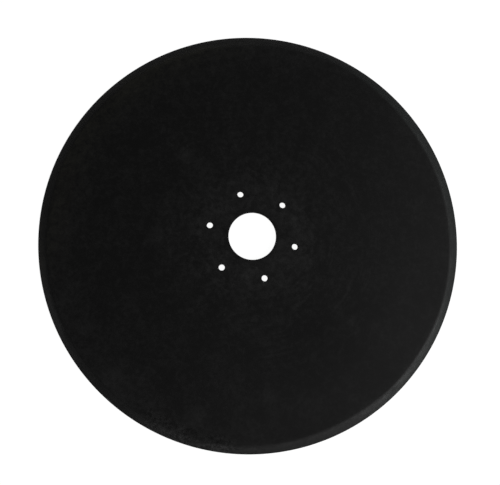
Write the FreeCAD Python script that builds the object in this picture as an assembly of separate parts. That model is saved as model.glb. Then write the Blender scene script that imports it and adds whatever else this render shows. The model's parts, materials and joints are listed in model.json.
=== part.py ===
"""Disc opener blade for a seed drill: one flat, round steel plate.

The blade cuts the slot in the soil that the seed falls into. It is blanked from
plate, ground to a cutting edge on its front face, and punched for the hub that
carries it: one bore for the hub's nose and a circle of small holes for its rivets.

Sizes are in millimetres. The blade lies on its flat back face. The origin is on
the bore's axis in that face, +Z points out of the ground front face, and +X
passes through the first rivet hole.
"""

import FreeCAD
import Part

import math
import os

# Plate
OUTER_DIAMETER = 381.0  # 15 inches over the cutting edge
PLATE_THICKNESS = 4.0

# Cutting edge, ground on the front face only
BEVEL_WIDTH = 8.4  # radial width of the ground band
BEVEL_RUNOUT = 8.0  # radius where the grinding runs out into the front face
EDGE_THICKNESS = 0.8  # what the grinding leaves of the plate at the rim
EDGE_BREAK = 0.2  # chamfer on the rim's back edge

# Centre bore, which fits over the hub's nose
BORE_DIAMETER = 43.2
BORE_ROLLOVER = 0.5  # radius that the punch draws on the front edge
BORE_BREAK = 0.3  # chamfer on the back edge, where the punch's burr is taken off

# Rivet holes, which fasten the blade to the hub's flange
RIVET_HOLE_COUNT = 6
RIVET_HOLE_DIAMETER = 5.5
RIVET_CIRCLE_DIAMETER = 79.4
RIVET_CHAMFER = 0.35  # on both faces, to clear the fillet under a rivet's head

# The largest part of the edge's thickness that its chamfer takes
LARGEST_EDGE_SHARE = 0.45

FRONT = PLATE_THICKNESS
BACK = 0.0
UP = FreeCAD.Vector(0, 0, 1)


def ground_plate():
    """The plate with its bore and its bevel, as one half section turned round."""
    bore_radius = BORE_DIAMETER / 2
    rim_radius = OUTER_DIAMETER / 2
    corners = [
        (bore_radius, BACK),
        (rim_radius, BACK),
        (rim_radius, BACK + EDGE_THICKNESS),
        (rim_radius - BEVEL_WIDTH, FRONT),
        (bore_radius, FRONT),
    ]
    points = [FreeCAD.Vector(radius, 0, height) for radius, height in corners]
    section = Part.Face(Part.makePolygon(points + points[:1]))
    return section.revolve(FreeCAD.Vector(0, 0, 0), UP, 360)


def rivet_slugs():
    """What the punch drives out of the plate, the first slug on +X.

    Each one stands out of both faces by a plate's thickness.
    """
    slug = Part.makeCylinder(
        RIVET_HOLE_DIAMETER / 2,
        3 * PLATE_THICKNESS,
        FreeCAD.Vector(RIVET_CIRCLE_DIAMETER / 2, 0, BACK - PLATE_THICKNESS),
        UP,
    )
    spacing = 360 / RIVET_HOLE_COUNT
    return [
        slug.rotated(FreeCAD.Vector(0, 0, 0), UP, i * spacing)
        for i in range(RIVET_HOLE_COUNT)
    ]


def round_edges(plate, diameter, height):
    """The plate's circular edges of that diameter at that height."""
    return [
        edge
        for edge in plate.Edges
        if isinstance(edge.Curve, Part.Circle)
        and math.isclose(edge.Curve.Radius, diameter / 2)
        and math.isclose(edge.Curve.Center.z, height, abs_tol=1e-6)
    ]


def finished_bevel(plate):
    """Blends the bevel into the front face, and breaks the rim's back edge."""
    inner_line = round_edges(plate, OUTER_DIAMETER - 2 * BEVEL_WIDTH, FRONT)
    plate = plate.makeFillet(BEVEL_RUNOUT, inner_line)
    edge_break = min(EDGE_BREAK, LARGEST_EDGE_SHARE * EDGE_THICKNESS)
    return plate.makeChamfer(edge_break, round_edges(plate, OUTER_DIAMETER, BACK))


def finished_bore(plate):
    """Gives the bore the punch's rollover in front, and breaks its back edge."""
    plate = plate.makeFillet(BORE_ROLLOVER, round_edges(plate, BORE_DIAMETER, FRONT))
    return plate.makeChamfer(BORE_BREAK, round_edges(plate, BORE_DIAMETER, BACK))


def finished_rivet_holes(plate):
    """Chamfers the rivet holes on both faces."""
    front_edges = round_edges(plate, RIVET_HOLE_DIAMETER, FRONT)
    back_edges = round_edges(plate, RIVET_HOLE_DIAMETER, BACK)
    return plate.makeChamfer(RIVET_CHAMFER, front_edges + back_edges)


def blade():
    plate = ground_plate().cut(rivet_slugs())
    return finished_rivet_holes(finished_bore(finished_bevel(plate)))


os.makedirs("parts", exist_ok=True)
solid = blade()
solid.exportStep("parts/blade.step")
print("blade: solids", len(solid.Solids), "faces", len(solid.Faces), "valid", solid.isValid())
print("volume in mm3", round(solid.Volume, 1))
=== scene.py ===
# %% [markdown]
# # A disc opener blade
#
# A seed drill cuts its slot in the soil with a steel disc. The blade is one flat
# plate, ground to an edge round its rim, punched for its hub and painted black.
# There is only one piece here, so all the care goes into its edges and its paint.
# The steps follow the maker's: cut the plate, grind it, punch it, then paint it.

import json
import math

import bmesh
import bpy
from mathutils import Matrix, Vector


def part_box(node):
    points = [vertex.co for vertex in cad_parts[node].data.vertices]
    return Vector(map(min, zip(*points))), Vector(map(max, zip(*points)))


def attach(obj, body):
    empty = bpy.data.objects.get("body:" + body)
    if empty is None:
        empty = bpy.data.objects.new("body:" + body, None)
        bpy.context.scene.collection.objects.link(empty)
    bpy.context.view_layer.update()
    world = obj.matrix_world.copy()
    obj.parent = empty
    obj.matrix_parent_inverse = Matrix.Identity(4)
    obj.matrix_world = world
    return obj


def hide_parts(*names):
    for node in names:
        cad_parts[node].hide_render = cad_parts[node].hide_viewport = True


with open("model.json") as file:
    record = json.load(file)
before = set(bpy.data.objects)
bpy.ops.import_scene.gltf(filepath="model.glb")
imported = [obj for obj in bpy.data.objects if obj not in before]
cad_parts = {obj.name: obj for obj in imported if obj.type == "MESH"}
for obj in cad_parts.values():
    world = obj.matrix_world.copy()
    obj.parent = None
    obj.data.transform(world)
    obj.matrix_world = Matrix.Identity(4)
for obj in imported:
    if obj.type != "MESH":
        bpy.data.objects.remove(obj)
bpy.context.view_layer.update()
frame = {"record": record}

# %% [markdown]
# ## Sizes
#
# Blender works in metres and a plate is drawn in millimetres, so every size is
# written as a number times MM. What the construction already fixes is read from
# it: the outline and thickness from its box, the bore and the rivet holes from
# its mounts. Only the small edge forms are written down again here.

# %% Read the sizes
MM = 0.001

mounts = {mount["name"]: mount for mount in frame["record"]["mounts"]}
bore_size = mounts["centre_bore"]["dims"]
rivet_size = mounts["rivet_holes"]["dims"]

RIM_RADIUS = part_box("blade")[1].x
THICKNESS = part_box("blade")[1].z
BORE_RADIUS = bore_size["r_mm"] * MM
RIVET_COUNT = rivet_size["count"]
RIVET_RADIUS = rivet_size["hole_r_mm"] * MM
RIVET_CIRCLE = rivet_size["pcd_mm"] / 2 * MM

BEVEL_WIDTH = 8.4 * MM
BEVEL_RUNOUT = 8.0 * MM
EDGE_THICKNESS = 0.8 * MM
EDGE_BREAK = 0.2 * MM
EDGE_ROUND = 0.25 * MM
BORE_ROLLOVER = 0.5 * MM
BORE_BREAK = 0.3 * MM
RIVET_CHAMFER = 0.35 * MM

print("radius of the rim in mm:", round(RIM_RADIUS / MM, 1))
print("radius of the bore in mm:", round(BORE_RADIUS / MM, 2))
print("thickness in mm:", round(THICKNESS / MM, 1))

# %% [markdown]
# ## Helpers for work in edit mode
#
# An operator acts on whatever is selected, so each step first opens the piece
# with nothing selected and then picks what it needs by its place. These helpers
# do that, and every later cell reads as the clicks would in the window.

# %% Open, pick and close
UPRIGHT = (math.radians(90), 0, 0)
SMALL = 0.001 * MM


def add_section(name, inner, outer):
    """Stands a plane in XZ, from one radius to another and as high as the plate."""
    bpy.ops.object.select_all(action="DESELECT")
    bpy.ops.mesh.primitive_plane_add(
        size=1, location=((inner + outer) / 2, 0, THICKNESS / 2), rotation=UPRIGHT
    )
    piece = bpy.context.object
    piece.name = name
    piece.scale = (outer - inner, THICKNESS, 1)
    bpy.ops.object.transform_apply(location=True, rotation=True, scale=True)
    return piece


def open_piece(piece):
    """Opens one piece in edit mode with nothing in it selected."""
    bpy.ops.object.select_all(action="DESELECT")
    piece.select_set(True)
    bpy.context.view_layer.objects.active = piece
    bpy.ops.object.mode_set(mode="EDIT")
    bpy.ops.mesh.select_all(action="DESELECT")


def pick(piece, kind, wanted):
    """Selects only the VERT, EDGE or FACE elements that the test wants."""
    bpy.ops.mesh.select_mode(type=kind)
    bpy.ops.mesh.select_all(action="DESELECT")
    mesh = bmesh.from_edit_mesh(piece.data)
    elements = {"VERT": mesh.verts, "EDGE": mesh.edges, "FACE": mesh.faces}[kind]
    chosen = [element for element in elements if wanted(element)]
    for element in chosen:
        element.select = True
    mesh.select_flush_mode()
    bmesh.update_edit_mesh(piece.data)
    return len(chosen)


def close_piece():
    bpy.ops.object.mode_set(mode="OBJECT")


def middle(element):
    """The middle of an edge or a face."""
    return sum((vertex.co for vertex in element.verts), Vector()) / len(element.verts)


def near(a, b):
    return abs(a - b) < 10 * SMALL


# %% [markdown]
# ## Half the section
#
# A turned part is easiest drawn as the half section on one side of its axis. It
# starts as a plane the size of the plate's section, standing in XZ. The grinding
# wheel is a flat cut: bisect lays a plane through the edge and takes away what
# is outside it, just as the wheel does.

# %% Cut the section from a plane
sector = add_section("blade_sector", BORE_RADIUS, RIM_RADIUS)
bevel_angle = math.atan2(THICKNESS - EDGE_THICKNESS, BEVEL_WIDTH)

open_piece(sector)
bpy.ops.mesh.select_all(action="SELECT")
bpy.ops.mesh.bisect(
    plane_co=(RIM_RADIUS, 0, EDGE_THICKNESS),
    plane_no=(math.sin(bevel_angle), 0, math.cos(bevel_angle)),
    threshold=SMALL,
    clear_outer=True,
)
print(f"the wheel stands at {math.degrees(bevel_angle):.1f} degrees to the plate")

# %% [markdown]
# ## Edges that catch the light
#
# No real edge is sharp. The punch draws the bore's front edge round, a file has
# broken the back edges, and the grinding runs out into the face in a soft line.
# Bevel on a corner of the outline makes each of them, and its offset is how far
# it reaches along both sides of the corner. The face is then thrown away, and
# the outline is left as a wire to be turned.

# %% Round the section's corners
runout_reach = BEVEL_RUNOUT * math.tan(bevel_angle / 2)
corners = [
    # radius, height, reach, segments
    (BORE_RADIUS, 0, BORE_BREAK, 1),
    (BORE_RADIUS, THICKNESS, BORE_ROLLOVER, 4),
    (RIM_RADIUS, 0, EDGE_BREAK, 1),
    (RIM_RADIUS, EDGE_THICKNESS, EDGE_ROUND, 3),
    (RIM_RADIUS - BEVEL_WIDTH, THICKNESS, runout_reach, 8),
]
for radius, height, reach, segments in corners:
    pick(sector, "VERT", lambda vertex: near(vertex.co.x, radius) and near(vertex.co.z, height))
    bpy.ops.mesh.bevel(offset=reach, segments=segments, affect="VERTICES")
bpy.ops.mesh.select_all(action="SELECT")
bpy.ops.mesh.delete(type="ONLY_FACE")
print("points in the outline:", len(bmesh.from_edit_mesh(sector.data).verts))

# %% [markdown]
# ## Where the rings go
#
# The spin turns every point of the outline into a ring, so this is where the
# mesh's density is chosen. The rivet holes need a band of close rings to be let
# into, and the flat faces get a ring every few millimetres, which keeps their
# faces nearly square. The bevel is left as one strip of faces, which stays
# straight when its inner line is moved later.

# %% Divide the outline
STEPS_ROUND = 480
HOLE_COLUMNS = 16
HOLE_RINGS = 8
step_angle = 2 * math.pi / STEPS_ROUND
band_half = HOLE_COLUMNS / 2 * step_angle * RIVET_CIRCLE
band_inner = RIVET_CIRCLE - band_half
band_outer = RIVET_CIRCLE + band_half

for radius in (band_inner, band_outer):
    bpy.ops.mesh.select_all(action="SELECT")
    bpy.ops.mesh.bisect(plane_co=(radius, 0, 0), plane_no=(1, 0, 0), threshold=SMALL)


def divide(low, high, bottom, top, cuts):
    """Divides the section's one long line between two radii and two heights."""

    def is_the_line(edge):
        centre = middle(edge)
        return low < centre.x < high and bottom < centre.z < top and edge.calc_length() > MM

    picked = pick(sector, "EDGE", is_the_line)
    bpy.ops.mesh.subdivide(number_cuts=cuts)
    print(f"from {low / MM:5.1f} to {high / MM:5.1f} mm: {picked} line, {cuts + 1} parts")


front = (THICKNESS - SMALL, THICKNESS + SMALL)
back = (-SMALL, SMALL)
faces_to_divide = [
    # side, cuts between the bore and the holes' band, cuts from there to the rim
    (front, 6, 45),
    (back, 4, 23),
]
for side, inner_cuts, outer_cuts in faces_to_divide:
    divide(BORE_RADIUS, band_inner, *side, inner_cuts)
    divide(band_inner, band_outer, *side, HOLE_RINGS - 1)
    divide(band_outer, RIM_RADIUS, *side, outer_cuts)
print("points in the outline:", len(bmesh.from_edit_mesh(sector.data).verts))
close_piece()

# %% [markdown]
# ## Turn one sixth of the plate
#
# The plate repeats six times round its axis, once for each rivet hole, so only
# one sixth is turned, and it is copied when its hole is finished. The outline is
# first turned by half a sector, so that the hole comes in the middle, on X: seen
# from above, a spin about +Z goes clockwise.

# %% Spin the sector
sector_angle = 2 * math.pi / RIVET_COUNT
sector.rotation_euler.z = sector_angle / 2
bpy.ops.object.transform_apply(location=False, rotation=True, scale=False)

open_piece(sector)
bpy.ops.mesh.select_all(action="SELECT")
bpy.ops.mesh.spin(
    steps=STEPS_ROUND // RIVET_COUNT, angle=sector_angle, center=(0, 0, 0), axis=(0, 0, 1)
)


def in_the_patch(face):
    """Whether a face lies where the rivet hole is let in, in front or behind."""
    place = middle(face)
    turned = abs(math.atan2(place.y, place.x))
    return (
        (near(place.z, 0) or near(place.z, THICKNESS))
        and band_inner < place.xy.length < band_outer
        and turned < HOLE_COLUMNS / 2 * step_angle
    )


removed = pick(sector, "FACE", in_the_patch)
bpy.ops.mesh.delete(type="FACE")
close_piece()
print("faces in the sector:", len(sector.data.polygons), "and removed for the hole:", removed)

# %% [markdown]
# ## The rivet hole
#
# The hole is a collar: its wall, the chamfer at both ends and a narrow flat ring
# round each mouth. A short section is spun about the hole's own axis, with as
# many steps as the gap in the plate has corners, so that the two can be bridged
# with clean four-sided faces.

# %% Spin the collar
COLLAR_STEPS = 2 * (HOLE_COLUMNS + HOLE_RINGS)
COLLAR_RING = 0.3 * MM

wall_radius = RIVET_CIRCLE + RIVET_RADIUS
collar_radius = wall_radius + RIVET_CHAMFER + COLLAR_RING
collar = add_section("rivet_collar", wall_radius, collar_radius)

open_piece(collar)
pick(collar, "VERT", lambda vertex: near(vertex.co.x, wall_radius))
bpy.ops.mesh.bevel(offset=RIVET_CHAMFER, segments=1, affect="VERTICES")
bpy.ops.mesh.select_all(action="SELECT")
bpy.ops.mesh.delete(type="ONLY_FACE")
pick(collar, "EDGE", lambda edge: near(middle(edge).x, collar_radius))
bpy.ops.mesh.delete(type="EDGE")
bpy.ops.mesh.select_all(action="SELECT")
bpy.ops.mesh.spin(
    steps=COLLAR_STEPS, angle=2 * math.pi, center=(RIVET_CIRCLE, 0, 0), axis=(0, 0, 1)
)
bpy.ops.mesh.select_all(action="SELECT")
bpy.ops.mesh.remove_doubles(threshold=SMALL)
close_piece()
print("faces in the collar:", len(collar.data.polygons))

# %% [markdown]
# ## Let the hole into the plate
#
# Joined, the two are still apart: a ring-shaped gap lies between the border of
# the patch and the collar, in front and behind. Bridge Edge Loops closes it. Its
# own choice is a curved bridge, so it is told to go straight, or the plate would
# swell round each hole.

# %% Bridge the gaps
bpy.ops.object.select_all(action="DESELECT")
collar.select_set(True)
sector.select_set(True)
bpy.context.view_layer.objects.active = sector
bpy.ops.object.join()

hole_centre = Vector((RIVET_CIRCLE, 0))
open_piece(sector)
for height in (0, THICKNESS):
    pick(
        sector,
        "EDGE",
        lambda edge: edge.is_boundary
        and near(middle(edge).z, height)
        and (middle(edge).xy - hole_centre).length < 2 * band_half,
    )
    bpy.ops.mesh.bridge_edge_loops(number_cuts=1, interpolation="LINEAR")
close_piece()
print("faces in the finished sector:", len(sector.data.polygons))

# %% [markdown]
# ## Six sectors make the plate
#
# Each copy gets its own mesh and is turned to its place. Where two sectors meet,
# their points fall together and are merged, and because a spin can leave faces
# looking inwards, the normals are recalculated once the shell is whole.

# %% Copy the sector round
copies = []
for i in range(1, RIVET_COUNT):
    copy = sector.copy()
    copy.data = sector.data.copy()
    copy.data.transform(Matrix.Rotation(i * sector_angle, 4, "Z"))
    bpy.context.collection.objects.link(copy)
    copies.append(copy)

blade = sector
blade.name = "ground_blade"
for copy in copies:
    copy.select_set(True)
bpy.context.view_layer.objects.active = blade
bpy.ops.object.join()

open_piece(blade)
bpy.ops.mesh.select_all(action="SELECT")
bpy.ops.mesh.remove_doubles(threshold=5 * SMALL)
bpy.ops.mesh.normals_make_consistent(inside=False)
close_piece()
print("faces of the plate:", len(blade.data.polygons))

# %% [markdown]
# ## The wheel wanders
#
# A hardened plate is never quite flat, so the grinding wheel bites deeper where
# it stands proud, and the ground band comes out up to a millimetre wider there.
# Only the bevel's inner line has to move. Everything else is hidden, because
# proportional editing leaves hidden points alone, and then a few points of the
# line are drawn in or out with a soft fall-off on both sides.

# %% Draw the bevel's inner line in and out
line_radius = RIM_RADIUS - BEVEL_WIDTH
drawn_in = [
    # azimuth in degrees, millimetres inward, reach of the fall-off in millimetres
    (110, 1.4, 130),
    (48, 0.8, 60),
    (75, -0.5, 40),
    (-8, -1.1, 95),
    (-82, -1.0, 90),
    (-33, -0.7, 45),
    (-103, 0.5, 6),
    (-98, -0.4, 5),
    (-95, 0.6, 5),
    (-91, 0.4, 4),
    (-87, -0.4, 6),
]


def on_the_line(vertex):
    """Whether a point lies in the soft run-out between the face and the bevel."""
    return (
        abs(vertex.co.xy.length - line_radius) < 1.1 * runout_reach
        and vertex.co.z > THICKNESS - 2 * runout_reach
    )


open_piece(blade)
line_points = pick(blade, "VERT", on_the_line)
bpy.ops.mesh.hide(unselected=True)
for azimuth, inward, reach in drawn_in:
    turn = math.radians(azimuth)
    outwards = Vector((math.cos(turn), math.sin(turn), 0))
    pick(
        blade,
        "VERT",
        lambda vertex: not vertex.hide
        and vertex.co.xy.normalized().dot(outwards.xy) > math.cos(0.6 * step_angle),
    )
    bpy.ops.transform.translate(
        value=-outwards * inward * MM,
        use_proportional_edit=True,
        proportional_edit_falloff="SMOOTH",
        proportional_size=reach * MM,
    )
bpy.ops.mesh.reveal(select=False)
close_piece()
bpy.ops.object.shade_smooth_by_angle(angle=math.radians(30))

face_radii = [
    vertex.co.xy.length / MM for vertex in blade.data.vertices if near(vertex.co.z, THICKNESS)
]
print("points in the line:", line_points)
print("the flat face reaches out to", round(max(face_radii), 1), "mm at most")

# %% [markdown]
# ## Is the shell closed?
#
# Steel has no holes in its skin, and a mesh that stands for it shouldn't either.
# Where every edge has exactly two faces the shell is closed, and its volume can
# be trusted: it should be close to the construction's own.

# %% Check that the shell is closed
shell = bmesh.new()
shell.from_mesh(blade.data)
open_edges = sum(not edge.is_manifold for edge in shell.edges)
print("faces:", len(shell.faces), "open edges:", open_edges)
print("volume in cm3:", round(shell.calc_volume() * 1e6, 2))
shell.free()

# %% [markdown]
# ## Sums between shader nodes
#
# A finish is worked out in numbers: how far from the axis, how much haze, how
# rough. In the node editor each sum is a Math node. This class wraps a node's
# output, so that ordinary Python sums add those nodes, and `1 - mask` works too.

# %% Wrap a socket


class Signal:
    """One output of a shader node, which can be used in sums."""

    def __init__(self, graph, socket):
        self.graph = graph
        self.socket = socket

    def __add__(self, other):
        return self.graph.math("ADD", self, other)

    def __sub__(self, other):
        return self.graph.math("SUBTRACT", self, other)

    def __rsub__(self, other):
        return self.graph.math("SUBTRACT", other, self)

    def __mul__(self, other):
        return self.graph.math("MULTIPLY", self, other)

    def __truediv__(self, other):
        return self.graph.math("DIVIDE", self, other)

    def __pow__(self, other):
        return self.graph.math("POWER", self, other)

    __radd__ = __add__
    __rmul__ = __mul__


# %% [markdown]
# ## One way to add a node
#
# Every node is added in the same way: its kind, then its settings, then what goes
# into its sockets, which is a value or another node's output. The few nodes that
# the paint needs again and again get a method of their own, with plain names for
# their sockets.

# %% Build a graph from code


class Graph:
    """A material's or the world's nodes, built from code."""

    def __init__(self, owner):
        owner.use_nodes = True
        self.tree = owner.node_tree
        self.tree.nodes.clear()

    def node(self, kind, settings=None, inputs=None, output=0):
        """Adds a node: its settings first, then its sockets' values or links."""
        node = self.tree.nodes.new("ShaderNode" + kind)
        for name, value in (settings or {}).items():
            setattr(node, name, value)
        for name, value in (inputs or {}).items():
            if isinstance(value, Signal):
                self.tree.links.new(value.socket, node.inputs[name])
            else:
                node.inputs[name].default_value = value
        return Signal(self, node.outputs[output]) if node.outputs else node

    def math(self, operation, a, b=0.0):
        return self.node("Math", {"operation": operation}, {0: a, 1: b})

    def rise(self, value, start, end):
        """Goes softly from 0 to 1 while a value goes from start to end, up or down."""
        return self.node(
            "MapRange",
            {"interpolation_type": "SMOOTHSTEP"},
            {"Value": value, "From Min": start, "From Max": end},
        )

    def between(self, value, rising, falling):
        """Goes from 0 to 1 over one span of a value, and back to 0 over another."""
        return self.rise(value, *rising) * (1 - self.rise(value, *falling))

    def mix(self, factor, a, b):
        """Mixes two colours."""
        return self.node("Mix", {"data_type": "RGBA"}, {0: factor, 6: a, 7: b}, output=2)

    def noise(self, vector, size, detail=2.0, roughness=0.5, distortion=0.0):
        """Cloudy noise from 0 to 1, with lumps of about that size."""
        return self.node(
            "TexNoise",
            inputs={
                "Vector": vector,
                "Scale": 1 / size,
                "Detail": detail,
                "Roughness": roughness,
                "Distortion": distortion,
            },
        )


# %% [markdown]
# ## Where on the blade
#
# Every mark on the blade is placed in millimetres from the bore. Grinding and
# wiping go round the disc, so their streaks need a second kind of place. Noise
# read at (cos, sin, radius) has no seam anywhere on the circle, and the smaller
# the first two numbers are against the third, the longer the streaks. Noise goes
# from 0 to 1 about a half, so what should swing both ways has the half taken off.

# %% Begin the paint's graph
paint_material = bpy.data.materials.new("black_paint")
paint = Graph(paint_material)

metres = paint.node("TexCoord", output="Object")
place = paint.node("VectorMath", {"operation": "SCALE"}, {0: metres, "Scale": 1 / MM})
x, y, z = (paint.node("SeparateXYZ", inputs={0: place}, output=i) for i in range(3))
radius = (x * x + y * y) ** 0.5
rim = RIM_RADIUS / MM
plate = THICKNESS / MM
print("size in mm that the paint is laid out for:", round(2 * rim, 1), "by", round(plate, 1))


def toward(azimuth):
    """How many millimetres from the axis a point lies toward an azimuth in degrees."""
    turn = math.radians(azimuth)
    return math.cos(turn) * x + math.sin(turn) * y


def uneven(swing, size, detail=2.0, roughness=0.5, distortion=0.0):
    """Noise about zero, with the swing from its lowest to its highest."""
    return swing * (paint.noise(place, size, detail, roughness, distortion) - 0.5)


def streaks(length, width, at_radius, detail=2.0):
    """Noise whose lumps are long round the disc and narrow across it."""
    turns = at_radius / length
    vector = paint.node(
        "CombineXYZ", inputs={0: x / radius * turns, 1: y / radius * turns, 2: radius / width}
    )
    return paint.noise(vector, 1.0, detail)


def spot(spot_x, spot_y, reach):
    """A soft round spot on the front face: 1 in its middle, 0 from its reach on."""
    distance = paint.node(
        "VectorMath",
        {"operation": "DISTANCE"},
        {0: place, 1: (spot_x, spot_y, plate)},
        output=1,
    )
    return 1 - paint.rise(distance, 0.0, reach)


# %% [markdown]
# ## Zones
#
# The paint wears in another way on each kind of surface, so each gets a mask.
# The way a surface faces tells them apart: its normal's Z is 1 on the front, a
# little less on the bevel and 0 on the walls. Masks made from it follow the
# bevel's line wherever it wanders, which a mask by radius couldn't.

# %% Make the masks
normals = paint.node("TexCoord", output="Normal")
facing = paint.node("SeparateXYZ", inputs={0: normals}, output=2)
steepness = 1 - facing * facing

on_front = paint.rise(z, 0.5 * plate, 0.75 * plate)
upright = paint.rise(steepness, 0.6, 0.9)
near_rim = paint.rise(radius, 0.9 * rim, 0.91 * rim)
on_bevel = near_rim * paint.rise(facing, 0.998, 0.965) * paint.rise(facing, 0.5, 0.8)
on_land = near_rim * upright
on_wall = (1 - near_rim) * upright
in_hole = (1 - near_rim) * paint.rise(steepness, 0.06, 0.36)
print("nodes in the paint after the zones:", len(paint.tree.nodes))

# %% [markdown]
# ## The paint's tone
#
# Black paint is never one black. This coat is thin and dull, over a rolled plate
# that was stacked, slid and handled. Its tone is counted here in steps that the
# eye can only just tell apart, from the deepest black up. Most of it is a cloudy
# noise that is about as strong at every size, from a hand's breadth to a hair's,
# with short curled fibres in it. Where another blade was turned on top of it, it
# has a few scuffs, which are short arcs about the bore.

# %% Cloud the paint
PLAIN_TONE = 1.5

clouds = uneven(9.0, size=34.0, roughness=0.8)
mottle = uneven(25.0, size=5.5, detail=4.0, roughness=0.95)
fibres = uneven(17.0, size=6.5, detail=4.0, roughness=0.75, distortion=1.4)

scuffs = 18.0 * (streaks(length=22.0, width=2.8, at_radius=75.0, detail=3.0) - 0.5)
scuff_patches = paint.noise(place, 38.0, detail=1.0) + 0.0012 * x
scuffed = paint.between(radius, (42.0, 60.0), (95.0, 140.0))
scuffed = scuffed * paint.rise(scuff_patches, 0.5, 0.68)

tone = PLAIN_TONE + clouds + mottle + fibres + scuffed * scuffs
print("nodes in the paint after the clouds:", len(paint.tree.nodes))

# %% [markdown]
# ## Where it was handled, and painted sheen at the rim
#
# Blades are carried and stacked by their bores, so round the bore there is a
# pale, patchy haze, which is strongest between the rivet holes. Near the rim a
# paler band is painted sheen, strongest on the side away from +X. Each is a
# ring by radius, and a patchy noise breaks it up.

# %% Add the haze and the painted rim sheen
patchy = paint.noise(place, 5.5, detail=3.0, roughness=0.75)
patchy = patchy + 0.5 * streaks(length=16.0, width=5.0, at_radius=40.0)
lumps = paint.rise(patchy, 0.66, 0.98)
haze = paint.rise(radius, 20.0, 28.0) * (
    1.6 - 0.9 * paint.rise(radius, 44.0, 66.0) - 0.7 * paint.rise(radius, 60.0, 105.0)
)

outer_band = paint.rise(radius, 145.0, 183.0)
sheen_side = paint.rise(x, 90.0, -60.0)
rim_lumps = paint.rise(paint.noise(place, 7.0, detail=4.0, roughness=0.8), 0.38, 0.66)
# painted sheen: a paler band near the rim, strongest away from +X, stands in for light
painted_rim_sheen = outer_band * (0.5 + sheen_side * (1.8 + 3.8 * rim_lumps))

tone = tone + on_front * (haze * (2.2 + 3.6 * lumps) + painted_rim_sheen)

# %% [markdown]
# ## Smudges and a darker, smoother area
#
# A few smudges stand by themselves, pale ones and dark ones. Each is one line of
# a list, and a fine noise breaks them all up, or they would look airbrushed. On
# one side there is a broad area that is a little darker. Its tone is nearly the
# same, but later it gets less roughness, which spreads less of the lamps' light.

# %% Add the smudges
smudges = [
    # x, y and reach in millimetres, strength in steps
    (107.4, -50.9, 17.0, 3.0),
    (48.5, -132.1, 15.0, 5.0),
    (-88.9, -151.9, 20.0, 3.0),
    (-77.7, 56.9, 12.0, 5.0),
    (-83.5, -25.2, 14.0, 4.0),
    (-8.1, -162.8, 13.0, 4.0),
    (-28.4, -163.3, 15.0, -4.0),
    (-31.3, -21.2, 7.0, 5.0),
    (32.3, 23.3, 7.0, 5.0),
    (4.2, -37.2, 9.0, 4.0),
    (-6.2, 42.0, 6.0, 4.0),
    (27.0, -1.0, 9.0, 4.0),
    (51.8, -1.1, 14.0, -4.0),
    (38.0, -25.0, 11.0, -3.5),
    (18.0, 30.0, 9.0, -5.0),
    (9.0, -55.0, 13.0, -3.0),
    (-8.0, 54.0, 13.0, -3.0),
    (-123.0, -114.0, 16.0, 3.0),
    (61.0, 14.0, 12.0, -4.0),
    (67.0, -10.0, 12.0, -4.0),
    (46.0, -29.0, 9.0, -3.0),
    (-4.0, 64.0, 9.0, -3.0),
]
smudged = sum(strength * spot(sx, sy, reach) for sx, sy, reach, strength in smudges)
broken_up = 1.0 + uneven(3.6, size=2.6, detail=3.0, roughness=0.75)

# a broad area, a little darker in tone and later less rough
darker_smooth_rim = outer_band * paint.rise(toward(-28.1), 110.0, 165.0)
darker_smooth_area = spot(82.6, -72.2, 90.0) + 0.8 * darker_smooth_rim

tone = tone + on_front * (smudged * broken_up - darker_smooth_area)
print("smudges:", len(smudges))

# %% [markdown]
# ## Scratches and specks
#
# A hairline scratch is a line on which a broad, soft noise passes one value: it
# curves and wanders as a real one does. Only where a second noise is high does it
# show, so the scratches come in a few groups. Specks are the middles of some of
# Voronoi's cells, the few whose own random number is high.

# %% Add scratches and specks
CELL_SIZE = 9.0

off_line = paint.math("ABSOLUTE", uneven(1.0, size=42.0, detail=1.0, distortion=0.6))
groups = paint.rise(paint.noise(place, 27.0, detail=1.0), 0.56, 0.66)
scratch = (1 - paint.rise(off_line, 0.0008, 0.0035)) * groups

cells = {"Vector": place, "Scale": 1 / CELL_SIZE}
from_middle = paint.node("TexVoronoi", inputs=cells, output="Distance")
cell_colour = paint.node("TexVoronoi", inputs=cells, output="Color")
chance = paint.node("SeparateColor", inputs={0: cell_colour})
speck = (1 - paint.rise(from_middle, 0.03, 0.09)) * paint.rise(chance, 0.9, 0.97)

tone = tone + 1.6 * scratch + 5.0 * speck
print("width in mm of the cells that a speck may sit in:", CELL_SIZE)

# %% [markdown]
# ## The ground bevel
#
# The bevel was ground before the blade was painted. Its paint is thinner and
# smoother than the face's, and it shows the wheel's grooves, which run round the
# disc. So its tone isn't added to the face's but takes its place. On the side
# away from the lamps it is painted a little deeper, as painted shade.

# %% Tone the bevel
BEVEL_RADIUS = 187.0
BEVEL_TONE = 1.6
GROOVE_WIDTH = 0.35
SHADED_DUSTY_AZIMUTH = 155.7

dusty_shaded_side = paint.rise(toward(SHADED_DUSTY_AZIMUTH), 90.0, 165.0)
grooves = streaks(length=60.0, width=GROOVE_WIDTH, at_radius=BEVEL_RADIUS)
patches = streaks(length=16.0, width=5.0, at_radius=BEVEL_RADIUS, detail=3.0)
grains = uneven(22.0, size=2.4, detail=3.0, roughness=0.8)

# painted shade: the bevel is a little deeper on the side away from the lamps
bevel_tone = BEVEL_TONE - 1.2 * dusty_shaded_side + clouds + mottle + grains
bevel_tone = bevel_tone + 8.0 * (patches - 0.5) + 6.0 * (grooves - 0.5)
tone = tone + on_bevel * (bevel_tone - tone)
print("width in mm of the grooves on the bevel:", GROOVE_WIDTH)

# %% [markdown]
# ## Where the edge was worked
#
# At one place the edge has been worked more than elsewhere, and there both the
# tone and the surface are lumpy. Two soft spots side by side cover the place, and
# Minimum cuts their sum off at 1, so that the middle is evenly worn.

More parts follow.
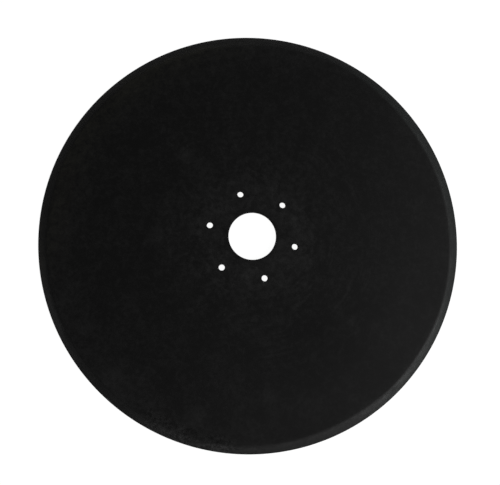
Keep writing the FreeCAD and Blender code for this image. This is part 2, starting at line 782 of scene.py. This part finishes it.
# %% Wear the edge
worn_place = spot(-30.0, -181.5, 36.0) + spot(14.0, -186.0, 22.0)
worn = paint.math("MINIMUM", 2.2 * worn_place, 1.0)
worn = worn * paint.rise(radius, 0.9 * rim, 0.935 * rim)
worn_lumps = paint.rise(paint.noise(place, 3.2, detail=4.0, roughness=0.8), 0.38, 0.62) - 0.5
tone = tone + worn * (14.0 * worn_lumps + 5.0 * on_bevel - 2.0)

# %% [markdown]
# ## Painted light at the rim
#
# A painted sheen lies on the outer half of the bevel at one place, and a painted
# highlight lies at another along the soft line where the bevel runs out into
# the face. Each is a spot on the rim, cut down to a narrow ring.

# %% Paint the rim's sheen and highlight
painted_edge_sheen = spot(-157.0, -106.0, 85.0) * paint.rise(radius, 182.0, 188.0)
painted_runout_highlight = spot(-100.0, 160.0, 100.0) * paint.between(radius, (178.0, 182.5), (183.5, 187.0))
# painted sheen on the outer bevel and a painted highlight along the run-out
tone = tone + 20.0 * painted_edge_sheen + 10.0 * painted_runout_highlight
print("nodes in the paint after the dust:", len(paint.tree.nodes))

# %% [markdown]
# ## Walls and edge
#
# A punch cuts the first third of the plate's thickness clean and tears the rest,
# so each hole has a smooth band in front and a rough one behind, with a ragged
# line between them. The cutting edge itself is the first place to lose paint.

# %% Tone the walls and the edge
ragged = uneven(1.2, size=1.8, roughness=0.6)
cut_clean = paint.rise(z + ragged, 0.6 * plate, 0.675 * plate)
bare = on_land * paint.rise(paint.noise(place, 7.0, detail=3.0, roughness=0.7), 0.42, 0.62)
tone = tone + on_wall * (0.6 * cut_clean - 0.6) + 7.0 * bare
print("the clean cut reaches down to", round(0.6 * plate, 1), "mm above the back")

# %% [markdown]
# ## Colour
#
# The steps become a colour at the very end: their sum is the factor of a Mix
# between a dead black and a dark grey. Both ends are a little cooler on the side
# of the bevel that the lamps light, a painted tint of their reflection, and the
# grey is warmer on the dusty side.

# %% Mix the colour
STEP_COUNT = 18
STEP_SIZE = 0.0006
DEEPEST = 0.0006
PALEST = DEEPEST + STEP_COUNT * STEP_SIZE


def grey(value, red=1.0, green=1.0, blue=1.0):
    """A grey, or a tint of it: the factors say how much of each colour it has."""
    return (value * red, value * green, value * blue, 1)


# painted reflection: the lamp-lit side of the bevel is tinted cool
lamp_reflection_tint = on_bevel * paint.rise(toward(19.9), 60.0, 150.0)
dusty = outer_band * dusty_shaded_side
deep = paint.mix(lamp_reflection_tint, grey(DEEPEST), grey(DEEPEST, 0.5, 2.3, 1.8))
pale = paint.mix(lamp_reflection_tint, grey(PALEST), grey(PALEST, 0.85, 1.1, 1.04))
pale = paint.mix(dusty, pale, grey(PALEST, 1.04, 1.02, 0.74))
colour = paint.mix(tone / STEP_COUNT, deep, pale)
print("grey from", DEEPEST, "to", round(PALEST, 4), "in", STEP_COUNT, "steps")

# %% [markdown]
# ## Gloss
#
# The face is a dull black, and where hands have hazed it, it is duller still. The
# bevel has more sheen, and its sheen is uneven, as thin paint over ground steel
# is. The punched walls have hardly any. As with the tone, each zone's own value
# takes the place of the face's.

# %% Set the roughness
FACE_ROUGHNESS = 0.54
BEVEL_ROUGHNESS = 0.47
WALL_ROUGHNESS = 1.0

bevel_roughness = BEVEL_ROUGHNESS - 0.35 * (patches - 0.5) - 0.014 * grains
wall_roughness = WALL_ROUGHNESS - 0.08 * cut_clean

roughness = FACE_ROUGHNESS + 0.006 * clouds + on_front * (0.02 * haze * lumps - 0.08 * darker_smooth_area)
roughness = roughness + on_bevel * (bevel_roughness - roughness)
roughness = roughness + in_hole * (wall_roughness - roughness)
roughness = roughness + worn * worn_lumps * (0.25 - 0.6 * on_bevel)
print("roughness of face, bevel and walls:", FACE_ROUGHNESS, BEVEL_ROUGHNESS, WALL_ROUGHNESS)

# %% [markdown]
# ## Relief
#
# All of the relief is finer than a tenth of a millimetre, so it is left to Bump
# and isn't modelled: a little orange peel and pores all over, the grooves of the
# bevel, the lumps at the worn place, the torn part of the walls, and the
# scratches, which go down. Its height is in millimetres, and its distance is one.

# %% Raise the relief
peel = 0.006 * paint.noise(place, 2.2)
pores = 0.003 * paint.noise(place, 0.5)
ground = 0.010 * on_bevel * grooves + 0.07 * worn * worn_lumps
torn = 0.05 * on_wall * (1 - cut_clean) * paint.noise(place, 0.7, roughness=0.6)
relief = peel + pores + ground + torn - 0.006 * scratch
normal = paint.node("Bump", inputs={"Strength": 1.0, "Distance": MM, "Height": relief})

# %% [markdown]
# ## The finished paint
#
# One Principled shader takes the colour, the roughness and the relief. How much
# a surface mirrors when looked at straight on is the same all over, so it stays a
# plain number on its socket. It is low, because this coat is dull and chalky.

# %% Finish the paint
DULL_SHEEN = 0.17

surface = paint.node(
    "BsdfPrincipled",
    inputs={
        "Base Color": colour,
        "Roughness": roughness,
        "Specular IOR Level": DULL_SHEEN,
        "Normal": normal,
    },
)
paint.node("OutputMaterial", inputs={"Surface": surface})
blade.data.materials.append(paint_material)
print("nodes in the paint:", len(paint.tree.nodes))

# %% [markdown]
# ## Camera
#
# The photograph looks almost straight down on the blade, from a little below its
# middle in the picture. The place, the aim and the length of the lens were worked
# out from how the outline, the bore and the six holes lie in it.

# %% Place the camera
CAMERA_PLACE = Vector((-11.551, -60.427, 445.814)) * MM
CAMERA_AIM = Vector((-0.621, -5.928, 0)) * MM
CAMERA_UP_AZIMUTH = math.radians(103.97)
LENS = 35.575
SENSOR = 36
NEAREST_SEEN = 10 * MM

camera_data = bpy.data.cameras.new("camera")
camera = bpy.data.objects.new("camera", camera_data)
bpy.context.collection.objects.link(camera)
bpy.context.scene.camera = camera
camera_data.lens = LENS
camera_data.sensor_width = SENSOR
camera_data.clip_start = NEAREST_SEEN

backward = (CAMERA_PLACE - CAMERA_AIM).normalized()
picture_up = Vector((math.cos(CAMERA_UP_AZIMUTH), math.sin(CAMERA_UP_AZIMUTH), 0))
rightward = picture_up.cross(backward).normalized()
upward = backward.cross(rightward)
axes = Matrix((rightward, upward, backward)).transposed().to_4x4()
camera.matrix_world = Matrix.Translation(CAMERA_PLACE) @ axes
print("the camera looks from", round(CAMERA_PLACE.length / MM), "mm away")

# %% [markdown]
# ## Floor
#
# The blade lies on a white sheet. The sheet glows for the camera and for what
# mirrors it, and for nothing else, so it looks white and lights nothing, and its
# own thin grey coat keeps the blade's shadow. From below it is clear, so that
# the blade's back can be looked at.

# %% Lay the floor
SHEET_SIZE = 12
SHEET_GAP = 0.05 * MM
COAT = 0.10
GLOW = 0.96

bpy.ops.object.select_all(action="DESELECT")
bpy.ops.mesh.primitive_plane_add(size=SHEET_SIZE, location=(0, 0, -SHEET_GAP))
floor = bpy.context.object
floor.name = "floor"
floor.visible_diffuse = False
floor.visible_shadow = False

floor_material = bpy.data.materials.new("white_sheet")
sheet = Graph(floor_material)
seen = (
    sheet.node("LightPath", output="Is Camera Ray")
    + sheet.node("LightPath", output="Is Glossy Ray")
    + sheet.node("LightPath", output="Is Transmission Ray")
)
coat = sheet.node("BsdfDiffuse", inputs={"Color": (COAT, COAT, COAT, 1)})
glow = sheet.node("Emission", inputs={"Color": (1, 1, 1, 1), "Strength": GLOW * seen})
above = sheet.node("AddShader", inputs={0: coat, 1: glow})
below = sheet.node("BsdfTransparent")
from_below = sheet.node("NewGeometry", output="Backfacing")
sheet_surface = sheet.node("MixShader", inputs={0: from_below, 1: above, 2: below})
sheet.node("OutputMaterial", inputs={"Surface": sheet_surface})
floor.data.materials.append(floor_material)
print("the sheet is", SHEET_SIZE, "m wide")

# %% [markdown]
# ## The room
#
# A dull black plate shows little more than its own lights, so they are what makes
# it look round. The room is a light tent: its walls glow at mid height, least on
# the blade's dusty side, and it is dim overhead, where the camera looks in. The
# camera itself sees plain white. The world's direction says where a ray goes: its
# Z is -1 straight down and 1 straight up.

# %% Light the room
OVERHEAD = 0.22
TENT_WALL = 0.67
BELOW = 0.35
DIMMED = 0.35

wall_foot = (0.25, 0.35)
wall_top = (0.55, 0.65)
dusty_turn = math.radians(SHADED_DUSTY_AZIMUTH)
to_dusty_side = (math.cos(dusty_turn), math.sin(dusty_turn), 0)

world = bpy.context.scene.world or bpy.data.worlds.new("room")
bpy.context.scene.world = world
room = Graph(world)
direction = room.node("TexCoord", output="Generated")
height_up = room.node("SeparateXYZ", inputs={0: direction}, output=2)
across = room.node(
    "VectorMath", {"operation": "DOT_PRODUCT"}, {0: direction, 1: to_dusty_side}, output=1
)
tent_wall = room.between(height_up, wall_foot, wall_top) * (
    1 - DIMMED * room.rise(across, 0.2, 0.8)
)
underneath = 1 - room.rise(height_up, -0.1, 0.0)
overhead = room.rise(height_up, *wall_top)
brightness = TENT_WALL * tent_wall + BELOW * underneath + OVERHEAD * overhead
camera_ray = room.node("LightPath", output="Is Camera Ray")
strength = brightness + camera_ray * (1 - brightness)
background = room.node("Background", inputs={"Color": (1, 1, 1, 1), "Strength": strength})
room.node("OutputWorld", inputs={"Surface": background})
print("nodes in the room:", len(room.tree.nodes))

# %% [markdown]
# ## The lamps
#
# Three soft lamps stand round the blade's right half, all at one distance and one
# elevation. The bevel mirrors the brightest of them, which gives its bright arc.
# A lamp's power is worked out from how bright its face should look, because the
# same power on a wider lamp is dimmer.

# %% Place the lamps
LAMP_DISTANCE = 1.6
LAMP_ELEVATION = math.radians(32)
LAMP_HEIGHT = 0.6

lamps = [
    # name, azimuth in degrees, width in metres, brightness
    ("right_lamp", -20, 0.85, 7.1),
    ("upper_lamp", 25, 1.5, 2.45),
    ("lower_lamp", -65, 1.5, 1.5),
]
for name, azimuth, width, lamp_brightness in lamps:
    lamp_data = bpy.data.lights.new(name, "AREA")
    lamp_data.shape = "RECTANGLE"
    lamp_data.size = width
    lamp_data.size_y = LAMP_HEIGHT
    lamp_data.energy = math.pi * width * LAMP_HEIGHT * lamp_brightness

    lamp = bpy.data.objects.new(name, lamp_data)
    bpy.context.collection.objects.link(lamp)
    turn = math.radians(azimuth)
    level = math.cos(LAMP_ELEVATION)
    outward = Vector((math.cos(turn) * level, math.sin(turn) * level, math.sin(LAMP_ELEVATION)))
    lamp.location = outward * LAMP_DISTANCE
    lamp.rotation_euler = outward.to_track_quat("Z", "Y").to_euler()
    lamp.visible_camera = False
    print(name, round(lamp_data.energy, 2), "W")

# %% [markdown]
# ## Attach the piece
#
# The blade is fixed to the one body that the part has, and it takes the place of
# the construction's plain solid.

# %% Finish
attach(blade, "root")
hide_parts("blade")

bpy.context.scene.view_settings.view_transform = "Standard"
